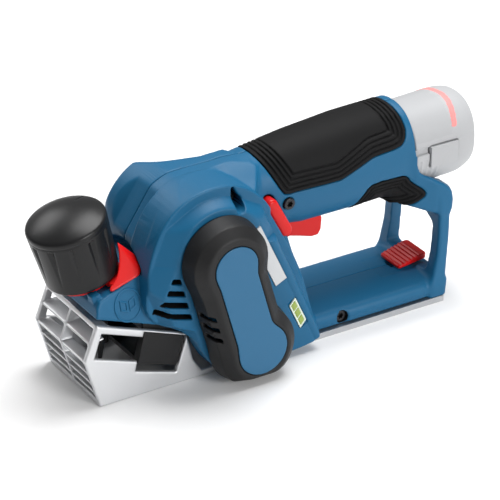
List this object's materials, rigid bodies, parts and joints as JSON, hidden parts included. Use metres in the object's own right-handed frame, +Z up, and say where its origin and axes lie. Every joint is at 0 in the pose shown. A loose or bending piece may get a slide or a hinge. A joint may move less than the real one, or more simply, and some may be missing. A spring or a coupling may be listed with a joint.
{
  "type": "electric hand planer",
  "caption": "Compact cordless hand planer with belt-driven cutter drum, height-adjustable front shoe, chip selector, closed handle frame and slide-in battery pack.",
  "frame": {"origin": "on the underside of the rear sole, on the centre plane between the two housing halves", "axes": "+Z up, -X in the direction of travel (knob end), -Y towards the belt cover"},
  "size_m": [0.2698, 0.0892, 0.119],
  "materials": {
    "housing_plastic": "fine moulded texture",
    "cast_aluminium": "satin die-cast",
    "machined_aluminium": "machined",
    "black_plastic": "fine moulded texture",
    "grip_rubber": "soft matt",
    "belt_rubber": "ribbed",
    "red_plastic": "semi-gloss",
    "steel": "zinc plated",
    "blade_steel": "ground",
    "motor_steel": "laminated",
    "battery_plastic": "moulded",
    "label_film": "printed film",
    "gauge_lens": "glossy",
    "board_green": "solder mask"
  },
  "bodies": {
    "housing": {"housing_left": "housing_plastic", "housing_right": "housing_plastic", "rear_sole": "machined_aluminium", "sole_screw_1": "steel", "sole_screw_2": "steel", "chip_duct": "black_plastic", "belt_cover": "black_plastic", "cover_badge": "housing_plastic", "drive_belt": "belt_rubber", "grip_saddle": "grip_rubber", "grip_pad_left": "grip_rubber", "grip_pad_right": "grip_rubber", "trigger_pin": "steel", "switch_body": "black_plastic", "handle_screw": "steel", "base_screw": "steel", "head_screw": "steel", "label_plate": "label_film", "charge_gauge": "gauge_lens", "park_pin": "steel", "battery_contacts": "black_plastic", "control_board": "board_green", "motor_stator": "motor_steel", "motor_bearing_left": "steel", "motor_bearing_right": "steel", "drum_bearing_left": "steel", "drum_bearing_right": "steel"},
    "front_shoe": {"front_shoe": "cast_aluminium"},
    "depth_knob": {"depth_knob": "black_plastic", "depth_spindle": "steel"},
    "chip_selector": {"chip_selector": "red_plastic"},
    "chip_vane": {"chip_vane": "black_plastic"},
    "cutter": {"cutter_drum": "machined_aluminium", "drum_pulley": "black_plastic", "blade_a": "blade_steel", "blade_clamp_a": "steel", "clamp_screw_a1": "steel", "clamp_screw_a2": "steel", "clamp_screw_a3": "steel", "blade_b": "blade_steel", "blade_clamp_b": "steel", "clamp_screw_b1": "steel", "clamp_screw_b2": "steel", "clamp_screw_b3": "steel"},
    "motor_rotor": {"motor_rotor": "motor_steel", "motor_shaft": "steel", "motor_fan": "black_plastic", "motor_pulley": "steel"},
    "trigger": {"trigger": "red_plastic"},
    "lock_off_button": {"lock_off_button": "red_plastic"},
    "park_lever": {"park_lever": "red_plastic"},
    "park_foot": {"park_foot": "black_plastic"},
    "battery": {"battery_shell": "battery_plastic"},
    "battery_button_left": {"battery_button_left": "battery_plastic"},
    "battery_button_right": {"battery_button_right": "battery_plastic"}
  },
  "joints": [
    {"name": "depth_knob_turn", "type": "hinge", "parent": "housing", "child": "depth_knob", "pos_m": [-0.1085, 0, 0.066], "axis": [-0.2588, 0, 0.9659], "range_deg": [0, 330]},
    {"name": "front_shoe_lift", "type": "slide", "parent": "housing", "child": "front_shoe", "axis": [0, 0, 1], "range_m": [0, 0.002]},
    {"name": "chip_selector_turn", "type": "hinge", "parent": "housing", "child": "chip_selector", "pos_m": [-0.1085, 0, 0.066], "axis": [-0.2588, 0, 0.9659], "range_deg": [0, 94]},
    {"name": "chip_vane_turn", "type": "hinge", "parent": "housing", "child": "chip_vane", "pos_m": [-0.0975, 0, 0.03], "axis": [0, 0, 1], "range_deg": [0, 68]},
    {"name": "cutter_spin", "type": "hinge", "parent": "housing", "child": "cutter", "pos_m": [-0.0295, 0, 0.019], "axis": [0, 1, 0], "continuous": true},
    {"name": "motor_spin", "type": "hinge", "parent": "housing", "child": "motor_rotor", "pos_m": [-0.0463, 0, 0.0753], "axis": [0, 1, 0], "continuous": true},
    {"name": "trigger_pull", "type": "hinge", "parent": "housing", "child": "trigger", "pos_m": [0.014, 0, 0.062], "axis": [0, -1, 0], "range_deg": [0, 7], "stiffness_Nm_per_rad": 0.8, "springref_deg": -17.19},
    {"name": "lock_off_press", "type": "slide", "parent": "housing", "child": "lock_off_button", "axis": [0, 1, 0], "range_m": [-0.0025, 0.0025], "stiffness_N_per_m": 600},
    {"name": "park_lever_slide", "type": "slide", "parent": "housing", "child": "park_lever", "axis": [-1, 0, 0], "range_m": [0, 0.007]},
    {"name": "park_foot_swing", "type": "hinge", "parent": "housing", "child": "park_foot", "pos_m": [0.0845, 0, 0.009], "axis": [0, 1, 0], "range_deg": [0, 18]},
    {"name": "battery_slide", "type": "slide", "parent": "housing", "child": "battery", "axis": [0.999, 0, 0.0436], "range_m": [0, 0.07]},
    {"name": "battery_button_left_press", "type": "slide", "parent": "battery", "child": "battery_button_left", "axis": [0, 1, 0], "range_m": [0, 0.0012], "stiffness_N_per_m": 800, "springref_m": -0.001},
    {"name": "battery_button_right_press", "type": "slide", "parent": "battery", "child": "battery_button_right", "axis": [0, -1, 0], "range_m": [0, 0.0012], "stiffness_N_per_m": 800, "springref_m": -0.001}
  ],
  "couplings": [
    {"joint": "front_shoe_lift", "follows": "depth_knob_turn", "m_per_rad": 0.00034725},
    {"joint": "chip_vane_turn", "follows": "chip_selector_turn", "ratio": 0.71702},
    {"joint": "motor_spin", "follows": "cutter_spin", "ratio": 1.5625},
    {"joint": "park_foot_swing", "follows": "park_lever_slide", "rad_per_m": 44.631}
  ]
}
